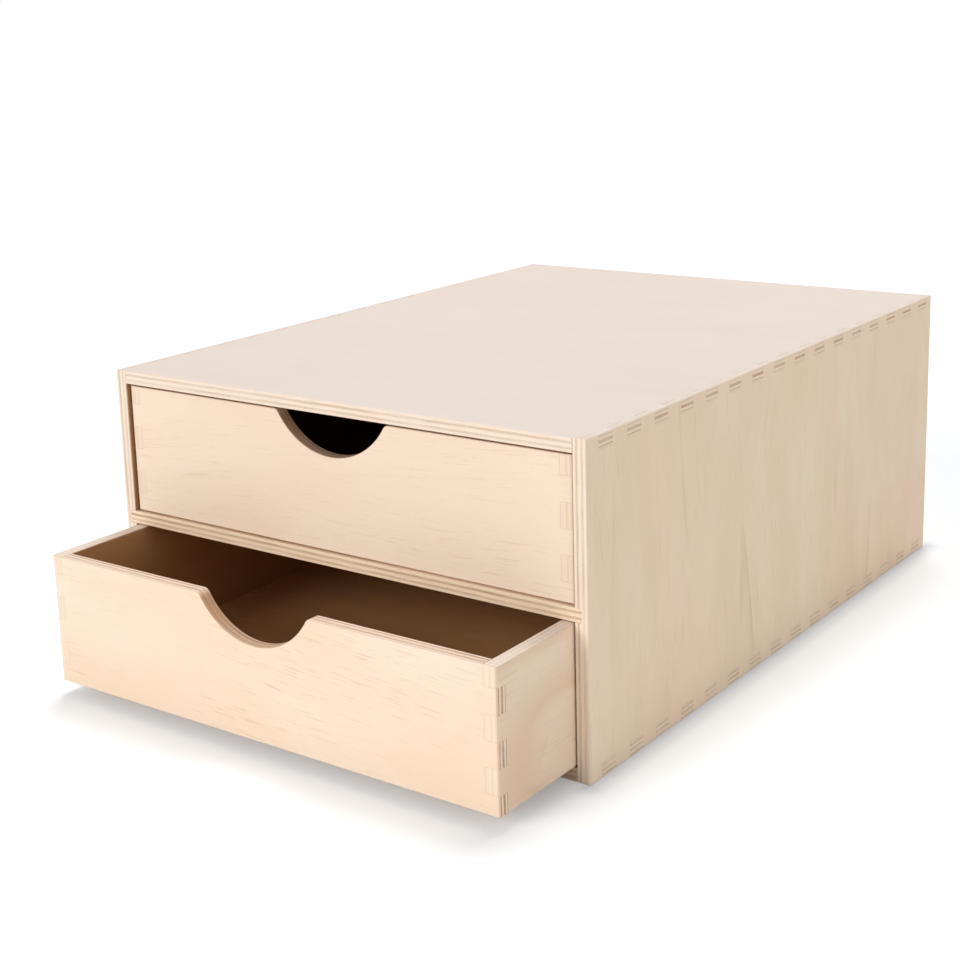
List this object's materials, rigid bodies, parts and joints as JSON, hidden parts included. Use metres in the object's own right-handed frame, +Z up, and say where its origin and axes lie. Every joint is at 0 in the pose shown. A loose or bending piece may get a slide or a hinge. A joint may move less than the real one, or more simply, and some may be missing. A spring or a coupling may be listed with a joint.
{
  "type": "desktop mini drawers",
  "caption": "Small plywood desktop cabinet with finger-jointed corners and stacked open-top drawers that slide out by a round grip cut-out.",
  "frame": {"origin": "middle of the cabinet's underside", "axes": "+X to the right across the front, +Y from front to back, +Z up"},
  "size_m": [0.24, 0.3735, 0.1316],
  "materials": {
    "birch_board": "sanded, unlacquered birch plywood",
    "thin_panel": "sanded, unlacquered thin plywood"
  },
  "bodies": {
    "cabinet": {"left_side_panel": "birch_board", "right_side_panel": "birch_board", "top_panel": "birch_board", "bottom_panel": "birch_board", "middle_shelf": "birch_board", "back_panel": "thin_panel"},
    "upper_drawer": {"upper_front_board": "birch_board", "upper_back_board": "birch_board", "upper_left_board": "birch_board", "upper_right_board": "birch_board", "upper_base_panel": "thin_panel"},
    "lower_drawer": {"lower_front_board": "birch_board", "lower_back_board": "birch_board", "lower_left_board": "birch_board", "lower_right_board": "birch_board", "lower_base_panel": "thin_panel"}
  },
  "joints": [
    {"name": "upper_drawer_slide", "type": "slide", "parent": "cabinet", "child": "upper_drawer", "axis": [0, -1, 0], "range_m": [-0.0032, 0.321]},
    {"name": "lower_drawer_slide", "type": "slide", "parent": "cabinet", "child": "lower_drawer", "axis": [0, -1, 0], "range_m": [-0.0532, 0.2715]}
  ]
}
